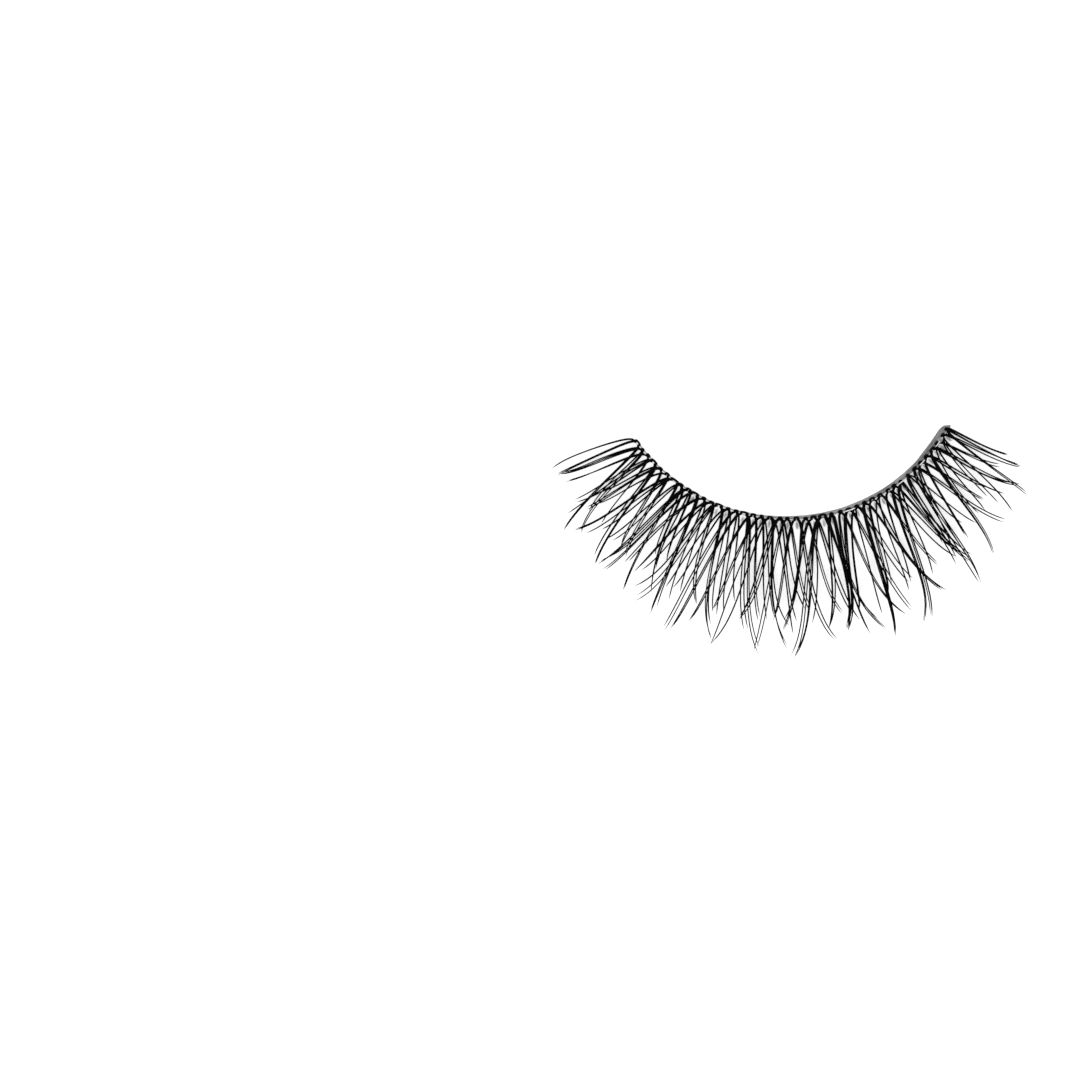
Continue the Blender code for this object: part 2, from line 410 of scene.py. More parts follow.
def make_thread(name, radius, wander_row, out_at, height_at):
    """A round section at the inner corner, spun round the eyelid's centre, closed, and laid on its line."""
    start = THREAD_FROM / BAND_CURVE_RADIUS
    sweep = (THREAD_TO - THREAD_FROM) / BAND_CURVE_RADIUS
    centre = (0, BAND_CURVE_RADIUS, 0)
    bpy.ops.object.select_all(action="DESELECT")
    bpy.ops.mesh.primitive_circle_add(
        vertices=THREAD_SIDES,
        radius=radius,
        fill_type="NOTHING",
        location=on_strip(THREAD_FROM, 0, 0),
        rotation=(math.pi / 2, 0, start + math.pi / 2),
    )
    thread = start_piece(name)
    bpy.ops.mesh.spin(steps=THREAD_STEPS, angle=-sweep, center=centre, axis=(0, 0, 1))
    bpy.ops.mesh.select_all(action="DESELECT")
    bpy.ops.mesh.select_mode(type="EDGE")
    bpy.ops.mesh.select_non_manifold()
    bpy.ops.mesh.edge_face_add()
    bpy.ops.object.mode_set(mode="OBJECT")
    noise.seed_set(THREAD_WANDER_SEED)
    for vertex in thread.data.vertices:
        from_centre = vertex.co - Vector(centre)
        turn = math.atan2(from_centre.x, -from_centre.y)
        along = turn * BAND_CURVE_RADIUS
        outwards = Vector((math.sin(turn), -math.cos(turn), 0))
        vertex.co += outwards * out_at(along) + Vector((0, 0, height_at(along)))
        wander = noise.noise_vector(vertex.co / THREAD_WANDER_LENGTH + Vector((0, 0, wander_row)))
        vertex.co += THREAD_WANDER * wander
    end_piece(thread, SHARP_ANGLE)
    return thread


def clear_nylon_painted_glow():
    """Nearly clear nylon with faint clouding along it, and a narrow highlight brightened by a painted glow.
    """
    nylon = Finish("clear_nylon_painted_glow")
    place = nylon.node("ShaderNodeTexCoord", {}, {}, "Object")
    cloud = nylon.node("ShaderNodeTexNoise", {}, {"Vector": place, "Scale": 2600.0, "Detail": 3.0})
    shade = nylon.node("ShaderNodeValToRGB", {"stops": CLEAR_NYLON_AND_GLOW_SHADES}, {"Fac": cloud})
    bump = nylon.node("ShaderNodeBump", {}, {"Height": cloud, "Strength": 0.3, "Distance": 0.01 * MM})
    nylon.fill(
        nylon.shader,
        {
            "Base Color": shade,
            "Alpha": 0.80 + cloud * 0.25,
            # A painted highlight: the nylon glows faintly in its own shades, so that its line looks brighter
            "Emission Color": shade,
            "Emission Strength": 0.18,
            "Roughness": 0.08 + cloud * 0.16,
            "Normal": bump,
            "IOR": 1.53,
            "Coat Weight": 0.5,
        },
    )
    return nylon


def smoky_nylon():
    """The same nylon, greyed by the glue that the knots are set in."""
    nylon = Finish("smoky_nylon")
    place = nylon.node("ShaderNodeTexCoord", {}, {}, "Object")
    cloud = nylon.node("ShaderNodeTexNoise", {}, {"Vector": place, "Scale": 1900.0, "Detail": 3.0})
    shade = nylon.node("ShaderNodeValToRGB", {"stops": SMOKY_NYLON_SHADES}, {"Fac": cloud})
    bump = nylon.node("ShaderNodeBump", {}, {"Height": cloud, "Strength": 0.3, "Distance": 0.01 * MM})
    nylon.fill(
        nylon.shader,
        {
            "Base Color": shade,
            "Alpha": 0.45 + cloud * 0.40,
            "Roughness": 0.12 + cloud * 0.20,
            "Normal": bump,
            "IOR": 1.50,
        },
    )
    return nylon


tie_thread = make_thread(
    name="tie_thread",
    radius=TIE_THREAD_RADIUS,
    wander_row=0.0,
    out_at=knot_out,
    height_at=lambda along: KNOT_HEIGHT,
)
edge_thread = make_thread(
    name="edge_thread",
    radius=EDGE_THREAD_RADIUS,
    wander_row=7.0,
    out_at=lambda along: knot_out(along) + EDGE_THREAD_PAST_KNOTS,
    height_at=edge_height,
)
clear_nylon_painted_glow().wear(edge_thread)
smoky_nylon().wear(tie_thread)
for thread in (tie_thread, edge_thread):
    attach(thread, "root")
    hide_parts("lash_fringe")


# Crossed hairs.
# Fine black fibres, tapered to nothing. Those that lean to the outer corner lie on the table and those that
# lean to the inner corner lie over them, and both rise with the curl that was set into them round a rod. A
# lock is the few fibres that leave a knot to one side, and their ends gather towards one or more tips.

FIRST_KNOT = -15.40 * MM
KNOT_PITCH = 0.769 * MM

# The side that a lock leans to: the inner corner or the outer one
INWARDS = -1
OUTWARDS = 1

# A tip goes a little further than charted, because the last of a hair is too fine to be seen
TIPS_FURTHER_MM = 0.04
TIPS_LONGER = 1.03

# Where the legs of a knot stand, and how the two layers lie over the table and rise
LEG_INSIDE_FOLD_MM = 0.10
LEG_LEAST_MM = 0.06
LEGS_PART_INNER = 0.13 * MM
LEGS_PART_OUTER = 0.29 * MM
LAYER_STEP = 0.25 * MM
LAYERS_PARTED = 0.40 * MM
LAID_DOWN = 1.10 * MM
LOCK_RADIUS = 0.145 * MM
TABLE_CLEARANCE = 0.01 * MM
CURL_START = 2.0 * MM
CURL_REACH = 11.6 * MM
CURL_RISE = 4.2 * MM
HAIR_CURLS = (0.88, 0.98)
HAIR_STACK = 0.035 * MM

# A hair's stations are partly even and partly closer together towards its root. A LATE is the power of the
# way along a hair that a change goes with: the higher it is, the nearer to the tip the change comes
HAIR_STATIONS = 28
HAIR_SIDES = 7
STATIONS_EVEN = 0.55
STATIONS_CLOSER = 0.45
TIP_HOOK = 0.15
HOOK_LATE = 12
ENDS_PART_LATE = 4
SPACING_LOST_LATE = 6
SLIMMER_LATE = 6
TAPER_LATE = 48
TIP_SECTION_LEFT = 0.04

# How thick a hair is, and how it slims towards its tip
HAIR_RADIUS = 0.084 * MM
HAIR_WIDTHS = (0.90, 1.10)
SINGLE_WIDER = 1.05
PAIR_WIDER = 0.915
SLIMMER_BY_MIDDLE = 0.26
SLIMMER_BY_TIP = 0.03
MIDDLE_OUT = 4.5 * MM

# How the hairs of one lock lie beside each other. Three or more that go to one tip lie close together
ROOT_SPACING = 0.100 * MM
ROOT_WIDTH = 0.18 * MM
ROOT_GATHERED = 0.60
SPACING_LOST = 0.80
OPEN_SPACING = (0.06 * MM, 0.13 * MM)
BUNDLE = 3
BUNDLE_SPACING = 0.062 * MM
BUNDLE_LOOSE = 0.30
LOCK_OPENS = (0.8 * MM, 4.0 * MM)
LOCK_OPENS_OVER = 2.5 * MM
TIPS_APART_MM = 0.07
TIPS_SHORT = 0.05
HOOKS_APART = 0.03
LOCK_BOW_INWARD = 0.05 * MM
LOCK_BOW_OUTWARD = -0.10 * MM
LOCK_BOW = 0.03 * MM
HAIR_BOW = 0.02 * MM

FIBRE_SHADES = [
    (0.15, (0.0005, 0.0005, 0.0006)),
    (0.60, (0.0014, 0.0013, 0.0013)),
    (0.95, (0.005, 0.0043, 0.0040)),
]

# The tips of each knot's locks, from the inner corner to the outer one: how far a tip lies along the band
# from its knot, how far it reaches out from the band, how many hairs go to it, how far they hook at the
# end, and how far they bow away from the knot halfway. Then how far the knot sits from its even place, and
# half the length of the hair folds that lie over it
Tip = namedtuple("Tip", "shift reach hairs hook bow", defaults=(TIP_HOOK, 0.0))
Knot = namedtuple("Knot", "inner outer moved fold")
KNOTS_MM = [
    Knot([(1.8, 7.4, 1, -0.15), (1.3, 7.3, 2, -0.05)], [(1.4, 9.7, 2)], 0.0, 0.33),
    Knot([(2.0, 7.0, 3, 0.15, 0.1)], [(1.4, 8.8, 2, 0.3), (0.8, 7.0, 1)], -0.02, 0.15),
    Knot([(2.2, 7.0, 2, 0.1)], [(1.1, 7.0, 2, 0.15, 0.12)], -0.08, 0.20),
    Knot(
        [(1.6, 7.3, 1, 0.15, -0.15), (1.75, 7.3, 1), (1.4, 8.5, 1, 0.15, 0.1)],
        [(1.6, 9.9, 3), (1.3, 9.4, 1)],
        -0.08,
        0.36,
    ),
    Knot([(1.6, 7.0, 2, 0.1, 0.12), (1.9, 5.3, 1)], [(1.4, 7.5, 2, 0.15, 0.12)], 0.0, 0.20),
    Knot([(2.2, 6.1, 2)], [(1.2, 7.8, 2)], 0.0, 0.23),
    Knot([(2.7, 9.0, 3), (2.15, 8.5, 1), (1.65, 7.3, 1)], [(1.4, 10.4, 2)], 0.1, 0.42),
    Knot([(1.8, 7.7, 1), (1.45, 7.4, 1)], [(2.0, 9.3, 2, 0.05, -0.32), (1.15, 6.3, 1)], 0.0, 0.22),
    Knot(
        [(2.0, 9.4, 2, 0.2, -0.12), (2.0, 9.8, 1, 0.15, -0.1)],
        [(1.2, 6.4, 2), (0.85, 7.3, 1)],
        0.04,
        0.27,
    ),
    Knot([(2.4, 9.9, 2)], [(0.95, 11.0, 2, 0.1, 0.12), (1.1, 10.2, 1)], -0.05, 0.36),
    Knot(
        [(2.4, 8.3, 1, 0.05, 0.2), (2.25, 8.0, 1, 0.05, 0.2)],
        [(1.2, 8.2, 1, 0.1, 0.08), (0.8, 9.2, 1)],
        0.05,
        0.20,
    ),
    Knot([(2.4, 8.5, 2, 0.1, 0.1), (2.1, 8.0, 1, 0.15, 0.05)], [(1.6, 8.7, 2, 0.2, -0.15)], 0.06, 0.23),
    Knot(
        [(2.3, 10.6, 2, 0.25, -0.1), (2.7, 9.5, 1, 0.2, -0.15)],
        [(2.1, 11.3, 2, 0.3, -0.1), (1.9, 10.0, 1, 0.2)],
        0.0,
        0.34,
    ),
    Knot([(1.5, 8.1, 1), (1.9, 8.3, 1, 0.1, 0.12)], [(1.3, 9.1, 1, 0.1, 0.15), (1.05, 8.9, 1)], 0.09, 0.18),
    Knot([(1.8, 11.8, 2, 0.15, 0.15)], [(1.4, 7.6, 1), (0.9, 8.7, 1)], 0.06, 0.20),
    Knot(
        [(2.3, 11.5, 2, 0.12, 0.1)],
        [(2.3, 11.8, 2, 0.2, -0.1), (1.65, 9.8, 1), (1.45, 9.9, 1)],
        0.03,
        0.36,
    ),
    Knot([(2.3, 10.3, 2, 0.12, 0.12)], [(1.4, 9.0, 2)], 0.08, 0.24),
    Knot([(2.0, 8.9, 2, 0.12, 0.15)], [(1.1, 8.8, 2), (1.5, 8.5, 1, 0.1)], 0.06, 0.16),
    Knot(
        [(2.4, 11.7, 1, 0.15, 0.25), (2.4, 11.6, 1, 0.25, -0.05)],
        [(1.5, 11.3, 2, 0.2, -0.25), (1.6, 9.3, 1, 0.3, -0.25), (1.8, 10.0, 1, 0.1, 0.15)],
        0.04,
        0.26,
    ),
    Knot([(1.9, 9.1, 1), (1.9, 9.0, 2, 0.2, -0.15)], [(1.8, 7.9, 2, 0.2, -0.1), (1.3, 8.9, 1)], 0.17, 0.20),
    Knot([(1.7, 11.7, 2, 0.08)], [(1.3, 8.1, 2)], 0.04, 0.18),
    Knot([(1.5, 8.8, 2)], [(1.7, 10.8, 1, 0.3, -0.15), (1.85, 10.8, 1, 0.3, -0.15)], 0.07, 0.25),
    Knot([(1.55, 8.8, 2, 0.2, -0.25)], [(1.6, 8.7, 2, 0.25, -0.05)], 0.12, 0.18),
    Knot([(2.5, 9.7, 2, 0.15, -0.08)], [(1.4, 8.8, 1), (1.7, 9.5, 1)], 0.04, 0.26),
    Knot(
        [(2.7, 12.1, 2, 0.25, 0.08), (2.65, 11.9, 1, 0.25, 0.0), (2.8, 11.8, 1, 0.25, 0.05), (1.65, 9.1, 1)],
        [(1.3, 11.0, 2), (0.25, 10.2, 3, 0.0, 0.68)],
        0.08,
        0.36,
    ),
    Knot(
        [(1.5, 9.8, 2, 0.2, -0.15), (1.45, 9.6, 1, 0.2, -0.2)],
        [(1.4, 10.9, 2, 0.3, -0.42), (1.2, 9.9, 1, 0.2, -0.38)],
        0.11,
        0.18,
    ),
    Knot([(1.15, 10.0, 2, 0.45)], [(1.9, 10.3, 2, 0.25, -0.12)], 0.16, 0.19),
    Knot([(2.04, 10.2, 3, 0.4, 0.15)], [(1.5, 10.2, 2)], 0.12, 0.24),
    Knot(
        [(1.9, 8.8, 2, 0.12, 0.15), (0.76, 9.6, 1, -0.2, -0.05)],
        [(1.6, 7.8, 1), (1.3, 7.9, 1)],
        0.12,
        0.22,
    ),
    Knot([(1.25, 11.8, 4, 0.3)], [(2.0, 9.9, 2, 0.1, -0.12)], 0.12, 0.19),
    Knot([(1.5, 8.0, 2)], [(1.4, 10.1, 1, 0.2, -0.3)], 0.08, 0.27),
    Knot([(1.9, 7.4, 1, 0.1, 0.08), (1.15, 8.6, 1)], [(1.0, 7.9, 2)], 0.1, 0.24),
    Knot([(1.6, 8.0, 2)], [(1.4, 8.2, 1, 0.2, 0.05), (1.8, 8.4, 1, 0.2, 0.1)], 0.14, 0.19),
    Knot([(2.71, 11.6, 3, 0.35, 0.1)], [(1.1, 9.3, 2)], 0.05, 0.21),
    Knot(
        [(2.98, 11.5, 3, 0.15, 0.0), (1.8, 8.3, 1)],
        [(0.5, 9.1, 2, 0.3, -0.15), (0.4, 7.5, 1)],
        -0.03,
        0.16,
    ),
    Knot([(1.1, 8.7, 1), (0.87, 8.2, 1), (1.0, 6.5, 1)], [(1.3, 7.1, 1), (0.7, 6.3, 1)], 0.05, 0.16),
    Knot([(1.5, 11.2, 1, 0.0), (1.4, 11.3, 2, 0.3, 0.1)], [(1.7, 8.8, 1), (1.9, 8.8, 1)], 0.11, 0.23),
    Knot([(1.9, 9.2, 1, 0.0, 0.12), (2.15, 7.2, 1, 0.0)], [(1.2, 6.2, 2, 0.1, 0.1)], 0.07, 0.19),
    Knot([(1.9, 7.6, 1, 0.0), (1.9, 7.2, 1, 0.0)], [(1.5, 7.3, 1), (1.3, 6.1, 1)], 0.05, 0.22),
    Knot(
        [(2.2, 10.1, 3, 0.22)],
        [(1.6, 7.8, 1, 0.15, -0.12), (1.75, 8.0, 1, 0.2, -0.12), (1.7, 7.6, 1, 0.2, -0.2)],
        0.1,
        0.29,
    ),
    Knot([(1.9, 6.7, 1, 0.0, 0.15), (1.5, 6.9, 1, 0.1, 0.12)], [(1.2, 5.7, 2, 0.15, 0.12)], 0.05, 0.20),
    Knot(
        [(1.3, 8.8, 1, 0.15, -0.1), (1.5, 6.3, 1, 0.1, 0.12), (1.4, 7.4, 1, 0.1, 0.12)],
        [(1.1, 7.2, 2)],
        0.13,
        0.20,
    ),
    Knot([(0.8, 9.0, 2)], [(0.6, 5.8, 2), (0.4, 7.2, 1)], 0.0, 0.13),
]
KNOT_PLACES = [FIRST_KNOT + KNOT_PITCH * number + knot.moved * MM for number, knot in enumerate(KNOTS_MM)]

# Where one hair ends and how it gets there, and how the hairs of one lock lie beside each other
HairEnd = namedtuple("HairEnd", "shift apart reach hook bow wider")
LockLay = namedtuple("LockLay", "leg root_spacing opens open_spacing bow")


def legs_part(along):
    """How far out from the band's middle line the two locks of a knot part."""
    return LEGS_PART_INNER + (LEGS_PART_OUTER - LEGS_PART_INNER) * outer_part(along)


def lay_height(out):
    """Height of the lower layer's middle: from the knots down to the table, then up with the curl."""
    on_table = LOCK_RADIUS + TABLE_CLEARANCE
    curl = np.maximum(out - CURL_START, 0) / (CURL_REACH - CURL_START)
    return KNOT_HEIGHT + (on_table - KNOT_HEIGHT) * smooth_step(out / LAID_DOWN) + CURL_RISE * curl ** 2


def hair_ends(tips, nearer, draw):
    """Where a lock's hairs end: the first hair of a tip at its charted place, the others a little off it."""
    ends = []
    for tip in tips:
        loose = BUNDLE_LOOSE if tip.hairs >= BUNDLE else 1.0
        for number in range(tip.hairs):
            apart = TIPS_APART_MM * loose * draw.standard_normal() * min(number, 1)
            short = TIPS_SHORT * loose * draw.random() * number
            hook = tip.hook + HOOKS_APART * loose * draw.standard_normal() * min(number, 1)
            wider = SINGLE_WIDER if tip.hairs == 1 else PAIR_WIDER
            ends.append(HairEnd(tip.shift - nearer, apart, tip.reach * (1 - short), hook, tip.bow, wider))
    return sorted(ends, key=lambda end: end.shift + end.apart + end.bow)


def hair_line(knot, side, layer, end, beside, lay, draw):
    """Middle points and radii of one hair.

    Layer is 0 for the lower layer and 1 for the upper one. Beside is how many hairs this one lies from the
    middle of its lock.
    """
    parts = legs_part(knot)
    step = np.linspace(0, 1, HAIR_STATIONS - 1)
    run = np.concatenate([[0], STATIONS_CLOSER * step + STATIONS_EVEN * np.sqrt(step)])
    out = parts + (end.reach * TIPS_LONGER * MM - parts) * run ** 2
    out[0] = knot_out(knot)

    hooked = (1 - end.hook) * run + end.hook * run ** HOOK_LATE
    lean = lay.leg + (end.shift * MM - lay.leg) * hooked + end.apart * MM * run ** ENDS_PART_LATE
    opened = smooth_step((out - lay.opens) / LOCK_OPENS_OVER)
    spacing = lay.root_spacing + (lay.open_spacing - lay.root_spacing) * opened
    spacing = spacing * (1 - SPACING_LOST * run ** SPACING_LOST_LATE)
    spacing[0] *= ROOT_GATHERED
    bow = end.bow * MM + lay.bow + HAIR_BOW * draw.standard_normal()
    halfway = 4 * run ** 2 * (1 - run ** 2)
    along = knot + side * (lean + beside * spacing + bow * halfway)

    stacked = HAIR_STACK * draw.uniform(-1, 1)
    curl = draw.uniform(*HAIR_CURLS)
    height = lay_height(out) * (1 + (curl - 1) * smooth_step(out / CURL_REACH)) + stacked
    height = height + layer * LAYER_STEP * smooth_step(out / LAYERS_PARTED)
    slimmer = 1 - SLIMMER_BY_MIDDLE * smooth_step(out / MIDDLE_OUT) - SLIMMER_BY_TIP * run ** SLIMMER_LATE
    width = HAIR_RADIUS * end.wider * draw.uniform(*HAIR_WIDTHS) * slimmer
    taper = np.sqrt(np.maximum(1 - run ** TAPER_LATE, TIP_SECTION_LEFT))
    return on_strip(along, out, height), width * taper


def hairs_to_mesh(name, lines, tones):
    """One joined mesh of closed round hairs, each with a tone of its own and a map along and round it."""
    middles = np.array([points for points, radii in lines])
    radii = np.array([radii for points, radii in lines])
    count, stations = radii.shape
    heading = np.gradient(middles, axis=1)
    heading /= np.linalg.norm(heading, axis=2, keepdims=True)
    sideways = np.cross(heading, (0.0, 0.0, 1.0))
    sideways /= np.linalg.norm(sideways, axis=2, keepdims=True)
    upwards = np.cross(sideways, heading)
    turn = np.arange(HAIR_SIDES) * math.tau / HAIR_SIDES
    rings = (
        middles[:, :, None]
        + radii[:, :, None, None] * np.cos(turn)[:, None] * sideways[:, :, None]
        + radii[:, :, None, None] * np.sin(turn)[:, None] * upwards[:, :, None]
    )
    first = (np.arange(count)[:, None] * stations + np.arange(stations - 1)) * HAIR_SIDES
    this = np.arange(HAIR_SIDES)
    following = (this + 1) % HAIR_SIDES
    quads = first[:, :, None, None] + np.stack(
        [this, following, following + HAIR_SIDES, this + HAIR_SIDES], axis=-1
    )
    corners = quads.reshape(-1, 4).tolist()
    per_hair = stations * HAIR_SIDES
    for hair in range(count):
        corners.append([hair * per_hair + number for number in reversed(this.tolist())])
        corners.append([(hair + 1) * per_hair - HAIR_SIDES + number for number in this.tolist()])
    mesh = bpy.data.meshes.new(name)
    mesh.from_pydata(rings.reshape(-1, 3).tolist(), [], corners)
    mesh.shade_smooth()
    tone = mesh.attributes.new("hair_tone", "FLOAT", "POINT")
    tone.data.foreach_set("value", np.repeat(tones, per_hair).astype(np.float32))

    lengths = np.linalg.norm(np.diff(middles, axis=1), axis=2)
    walked = np.concatenate([np.zeros((count, 1)), np.cumsum(lengths, axis=1)], axis=1) / MM
    place = np.stack(np.broadcast_arrays(walked[:, :, None], turn / math.tau), axis=-1).reshape(-1, 2)
    loop_vertices = np.zeros(len(mesh.loops), int)
    mesh.loops.foreach_get("vertex_index", loop_vertices)
    along_hair = mesh.uv_layers.new(name="along_hair")
    along_hair.data.foreach_set("uv", place[loop_vertices].astype(np.float32).ravel())
    piece = bpy.data.objects.new(name, mesh)
    bpy.context.collection.objects.link(piece)
    return piece


def layer_lines(side, layer, seed):
    """The hairs of all the locks that lean to one side, with a tone for each."""
    draw = np.random.default_rng(seed)
    lines = []
    for place, knot in zip(KNOT_PLACES, KNOTS_MM):
        tips = [Tip(*tip) for tip in (knot.inner if side == INWARDS else knot.outer)]
        ends = hair_ends(tips, side * knot.moved - TIPS_FURTHER_MM, draw)
        root_spacing = min(ROOT_SPACING, ROOT_WIDTH / max(len(ends) - 1, 1))
        opens = draw.uniform(*LOCK_OPENS)
        open_spacing = draw.uniform(*OPEN_SPACING)
        bow = LOCK_BOW_INWARD if side == INWARDS else LOCK_BOW_OUTWARD
        bow += LOCK_BOW * draw.standard_normal()
        if max(tip.hairs for tip in tips) >= BUNDLE:
            open_spacing = BUNDLE_SPACING
        leg = max(knot.fold - LEG_INSIDE_FOLD_MM, LEG_LEAST_MM) * MM
        lay = LockLay(leg, root_spacing, opens, open_spacing, bow)
        for number, end in enumerate(ends):
            beside = number - (len(ends) - 1) / 2
            lines.append(hair_line(place, side, layer, end, beside, lay, draw))
    return lines, draw.random(len(lines))


def black_fibre():
    """Black fibre: each hair a little lighter or browner than the next, and faintly streaked lengthwise."""
    fibre = Finish("black_fibre")
    tone = fibre.node("ShaderNodeAttribute", {"attribute_name": "hair_tone"}, {}, "Fac")
    drawn = fibre.node("ShaderNodeUVMap", {"uv_map": "along_hair"}, {})
    stretched = fibre.node("ShaderNodeMapping", {}, {"Vector": drawn, "Scale": (1.2, 6.0, 1.0)})
    streak = fibre.node("ShaderNodeTexNoise", {}, {"Vector": stretched, "Scale": 2.0, "Detail": 3.0})
    shade = fibre.node("ShaderNodeValToRGB", {"stops": FIBRE_SHADES}, {"Fac": tone * 0.55 + streak * 0.45})
    bump = fibre.node("ShaderNodeBump", {}, {"Height": streak, "Strength": 0.35, "Distance": 0.006 * MM})
    fibre.fill(
        fibre.shader,
        {
            "Base Color": shade,
            "Roughness": 0.36 + streak * 0.20,
            "Normal": bump,
            "IOR": 1.13,
            "Specular IOR Level": 0.5,
        },
    )
    return fibre


outward_hairs = hairs_to_mesh("outward_hairs", *layer_lines(side=OUTWARDS, layer=0, seed=11))
inward_hairs = hairs_to_mesh("inward_hairs", *layer_lines(side=INWARDS, layer=1, seed=23))
hair_finish = black_fibre()
hair_finish.wear(outward_hairs, inward_hairs)
for layer in (outward_hairs, inward_hairs):
    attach(layer, "root")
    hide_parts("lash_fringe")


# Hair loops.
# At each knot the hairs are folded over the band, so that both halves of a hair hang in their own lock, and
# one more turn of hair ties them to the thread. From above a knot is a short black bar with round shoulders.

LOOP_RADIUS = 0.050 * MM
LOOP_DEPTH = 0.16 * MM
LOOP_BACK = 0.10 * MM
LOOP_WANDER = 0.02 * MM
LOOP_SQUARE_INNER = 0.5
LOOP_SQUARE_OUTER = 0.8
LOOP_ARCH = 0.03 * MM
LOOP_LIFT = 0.015 * MM
LOOPS_PER_KNOT = (3, 5)
LOOP_SPACING = 0.042 * MM
LOOP_STACK = 0.04 * MM
LOOP_NARROWER = 0.06
LOOP_REACHES = (0.94, 1.04)

# At some knots one more hair is folded where the two locks part
APEX_FOLD_SHARE = 0.45
APEX_FOLD_WIDER = 0.04 * MM
APEX_FOLD_BACK = 0.015 * MM
APEX_FOLD_ENDS = 0.175 * MM


def loop_line(knot, half, back, ends, square, height, draw):
    """One hair laid over the thread: an arch that is open towards the tips, from one lock to the other."""
    bend = np.linspace(-math.pi / 2, math.pi / 2, HAIR_STATIONS)
    along = knot + half * np.sin(bend)
    out = ends + (back - ends) * np.cos(bend) ** square
    radius = LOOP_RADIUS * draw.uniform(*HAIR_WIDTHS) * np.ones(HAIR_STATIONS)
    return on_strip(along, out, height + LOOP_ARCH * np.cos(bend)), radius


def knot_lines(seed):
    """The folded hairs of every knot, with a tone for each."""
    draw = np.random.default_rng(seed)
    lines = []
    for place, knot in zip(KNOT_PLACES, KNOTS_MM):
        outer = outer_part(place)
        half = knot.fold * MM
        square = LOOP_SQUARE_INNER + (LOOP_SQUARE_OUTER - LOOP_SQUARE_INNER) * outer
        middle = knot_out(place) + LOOP_WANDER * draw.standard_normal()
        for number in range(draw.integers(*LOOPS_PER_KNOT)):
            back = middle - LOOP_BACK + LOOP_SPACING * number
            reach = half * (1 - LOOP_NARROWER * number) * draw.uniform(*LOOP_REACHES)
            height = KNOT_HEIGHT + LOOP_LIFT + LOOP_STACK * number
            lines.append(loop_line(place, reach, back, back + LOOP_DEPTH, square, height, draw))
        if draw.random() < APEX_FOLD_SHARE * outer:
            back = legs_part(place) + APEX_FOLD_BACK
            ends = legs_part(place) + APEX_FOLD_ENDS
            lines.append(loop_line(place, half + APEX_FOLD_WIDER, back, ends, square, KNOT_HEIGHT, draw))
    return lines, draw.random(len(lines))


hair_loops = hairs_to_mesh("hair_loops", *knot_lines(seed=5))
hair_finish.wear(hair_loops)
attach(hair_loops, "root")
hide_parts("lash_fringe")


# Dried glue and painted shade.
# What is left of the glue that the knots are set in is one cloudy drop over the hairs near the outer
# corner. Thin grey webs that hang between the two locks of a knot, just below the band, are painted shade.

DROP_PLACE = (15.82 * MM, 0.12 * MM, 0.52 * MM)
DROP_HALF = (0.27 * MM, 0.23 * MM, 0.25 * MM)
DROP_SEGMENTS = 32
DROP_RINGS = 20
DROP_LUMPS = 0.14
DROP_LUMP_LENGTH = 0.12 * MM
WEBS_FROM_KNOT = 9
WEB_OUT = 0.50 * MM
WEB_HEIGHT = 0.25 * MM
WEB_HALF = (0.14 * MM, 0.40 * MM, 0.012 * MM)
WEB_SIZES = (0.8, 1.15)
WEB_WANDER = 0.04 * MM
WEB_SEGMENTS = 16
WEB_RINGS = 8
DROP_SHADES = [(0.30, (0.20, 0.202, 0.206)), (0.70, (0.42, 0.423, 0.430))]
# The grey of the webs is painted shade between the locks
PAINTED_SHADE_WEB_TONES = [(0.30, (0.10, 0.102, 0.106)), (0.70, (0.30, 0.303, 0.308))]


def open_ball(name, segments, rings):
    """A ball of radius 1, opened in edit mode."""
    bpy.ops.object.select_all(action="DESELECT")
    bpy.ops.mesh.primitive_uv_sphere_add(segments=segments, ring_count=rings, radius=1)
    return start_piece(name)


def make_glue_drop():
    """A ball, flattened and made lumpy, and pressed over the knots."""
    drop = open_ball("glue_drop", DROP_SEGMENTS, DROP_RINGS)
    bpy.ops.transform.resize(value=DROP_HALF)
    bpy.ops.object.mode_set(mode="OBJECT")
    for vertex in drop.data.vertices:
        lump = 1 + DROP_LUMPS * noise.noise(vertex.co / DROP_LUMP_LENGTH)
        along, out, height = vertex.co * lump + Vector(DROP_PLACE)
        vertex.co = on_strip(along, out, height)
    end_piece(drop, SHARP_ANGLE)
    return drop


def make_shade_webs(seed):
    """Flat lenses of painted shade in one mesh, one below most knots, with a map from -1 to 1 across each.
    """
    draw = np.random.default_rng(seed)
    lens = open_ball("shade_webs", WEB_SEGMENTS, WEB_RINGS)
    bpy.ops.object.mode_set(mode="OBJECT")
    ball = np.array([vertex.co for vertex in lens.data.vertices])
    ball_faces = [tuple(face.vertices) for face in lens.data.polygons]
    bpy.data.objects.remove(lens)
    points = []
    faces = []
    for place in KNOT_PLACES[WEBS_FROM_KNOT:-1]:
        along, out, height = (ball * WEB_HALF * draw.uniform(*WEB_SIZES)).T
        middle = place + WEB_WANDER * draw.standard_normal()
        faces += [[corner + len(points) for corner in face] for face in ball_faces]
        points += on_strip(middle + along, legs_part(place) + WEB_OUT + out, WEB_HEIGHT + height).tolist()
    mesh = bpy.data.meshes.new("shade_webs")
    mesh.from_pydata(points, [], faces)
    webs = bpy.data.objects.new("shade_webs", mesh)
    bpy.context.collection.objects.link(webs)
    across = mesh.uv_layers.new(name="across_web")
    for loop in mesh.loops:
        across.data[loop.index].uv = ball[loop.vertex_index % len(ball)][:2]
    end_piece(webs, NEVER_SHARP)
    return webs


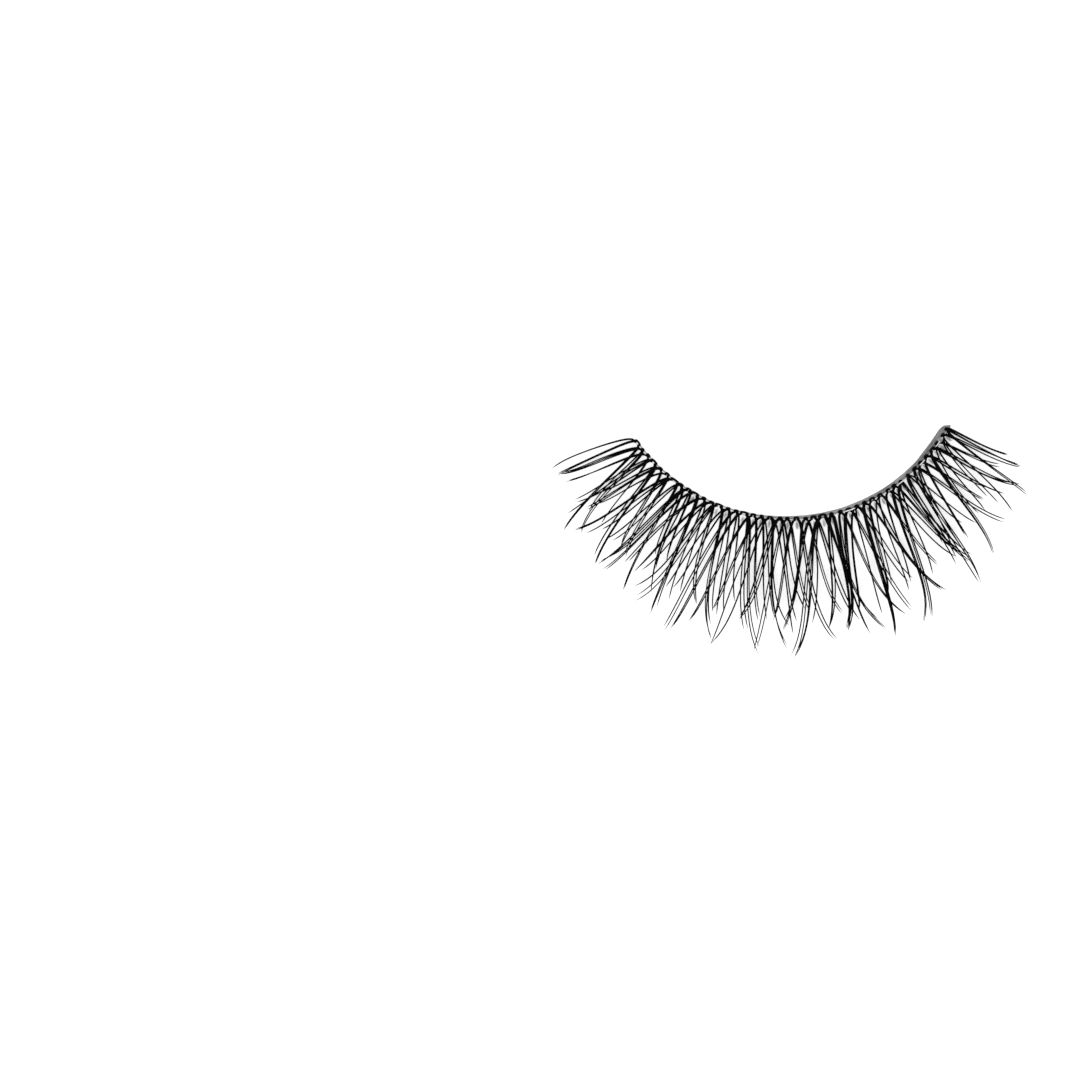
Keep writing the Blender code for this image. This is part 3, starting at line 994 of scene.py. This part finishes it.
def dried_glue():
    """Cloudy, pale grey dried glue with a soft shine."""
    glue = Finish("dried_glue")
    place = glue.node("ShaderNodeTexCoord", {}, {}, "Object")
    cloud = glue.node("ShaderNodeTexNoise", {}, {"Vector": place, "Scale": 6500.0, "Detail": 4.0})
    shade = glue.node("ShaderNodeValToRGB", {"stops": DROP_SHADES}, {"Fac": cloud})
    bump = glue.node("ShaderNodeBump", {}, {"Height": cloud, "Strength": 0.4, "Distance": 0.03 * MM})
    glue.fill(
        glue.shader,
        {"Base Color": shade, "Alpha": 0.85 + cloud * 0.3, "Roughness": 0.25 + cloud * 0.2, "Normal": bump},
    )
    return glue


def painted_shade_film():
    """Painted shade as a thin grey web, which thins out towards its rim."""
    web = Finish("painted_shade_film")
    place = web.node("ShaderNodeTexCoord", {}, {}, "Object")
    cloud = web.node("ShaderNodeTexNoise", {}, {"Vector": place, "Scale": 1500.0, "Detail": 3.0})
    drawn = web.node("ShaderNodeUVMap", {"uv_map": "across_web"}, {})
    across = web.node("ShaderNodeSeparateXYZ", {}, {"Vector": drawn}, "X")
    outwards = web.node("ShaderNodeSeparateXYZ", {}, {"Vector": drawn}, "Y")
    thick = 1 - (across * across + outwards * outwards)
    # The web's grey is painted shade where the locks crowd together below the band
    shade = web.node("ShaderNodeValToRGB", {"stops": PAINTED_SHADE_WEB_TONES}, {"Fac": cloud})
    web.fill(
        web.shader,
        {"Base Color": shade, "Alpha": thick * cloud * 1.05, "Roughness": 0.2 + cloud * 0.2},
    )
    return web


glue_drop = make_glue_drop()
dried_glue().wear(glue_drop)
# The webs are painted shade between the locks, not glue
shade_webs = make_shade_webs(seed=41)
painted_shade_film().wear(shade_webs)
for glue in (glue_drop, shade_webs):
    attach(glue, "root")
    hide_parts("clear_band")


# Studio.
# A plain white table that is lit a little from below, under soft white light from all round. The camera
# looks straight down through a long lens.

FLOOR_HEIGHT = -0.02 * MM
FLOOR_SIZE = 4.0
FLOOR_GLOW = 0.56
SKY_STRENGTH = 0.42
CAMERA_HEIGHT = 1.5
CAMERA_SEES_FROM = 0.01
CAMERA_SEES_TO = 10.0
VIEW_WIDTH = 96.0 * MM
VIEW_CENTRE = (-21.96 * MM, -1.96 * MM)
SENSOR_WIDTH_MM = 36.0

SoftLight = namedtuple("SoftLight", "name place size power")
SOFT_LIGHTS = [
    SoftLight("soft_light_left", (-0.35, -0.25, 0.9), 0.9, 3.2),
    SoftLight("soft_light_right", (0.45, 0.2, 0.8), 0.8, 2.2),
]

bpy.ops.object.select_all(action="DESELECT")
bpy.ops.mesh.primitive_plane_add(size=FLOOR_SIZE, location=(0, 0, FLOOR_HEIGHT))
table = bpy.context.active_object
table.name = "white_table"
table_finish = Finish("white_table")
table_finish.fill(
    table_finish.shader,
    {
        "Base Color": (0.86, 0.86, 0.86, 1.0),
        "Roughness": 0.9,
        "Specular IOR Level": 0.1,
        "Emission Color": (1.0, 1.0, 1.0, 1.0),
        "Emission Strength": FLOOR_GLOW,
    },
)
table_finish.wear(table)

sky = bpy.data.worlds.new("soft_sky")
sky.use_nodes = True
sky.node_tree.nodes["Background"].inputs["Color"].default_value = (1.0, 1.0, 1.0, 1.0)
sky.node_tree.nodes["Background"].inputs["Strength"].default_value = SKY_STRENGTH
bpy.context.scene.world = sky

for soft_light in SOFT_LIGHTS:
    bpy.ops.object.light_add(type="AREA", location=soft_light.place)
    light = bpy.context.active_object
    light.name = soft_light.name
    light.data.shape = "DISK"
    light.data.size = soft_light.size
    light.data.energy = soft_light.power
    light.rotation_euler = (-Vector(soft_light.place)).to_track_quat("-Z", "Y").to_euler()

bpy.ops.object.camera_add(location=(*VIEW_CENTRE, CAMERA_HEIGHT))
camera = bpy.context.active_object
camera.data.sensor_width = SENSOR_WIDTH_MM
camera.data.lens = SENSOR_WIDTH_MM * CAMERA_HEIGHT / VIEW_WIDTH
camera.data.clip_start = CAMERA_SEES_FROM
camera.data.clip_end = CAMERA_SEES_TO
bpy.context.scene.camera = camera
bpy.context.scene.view_settings.view_transform = "Standard"
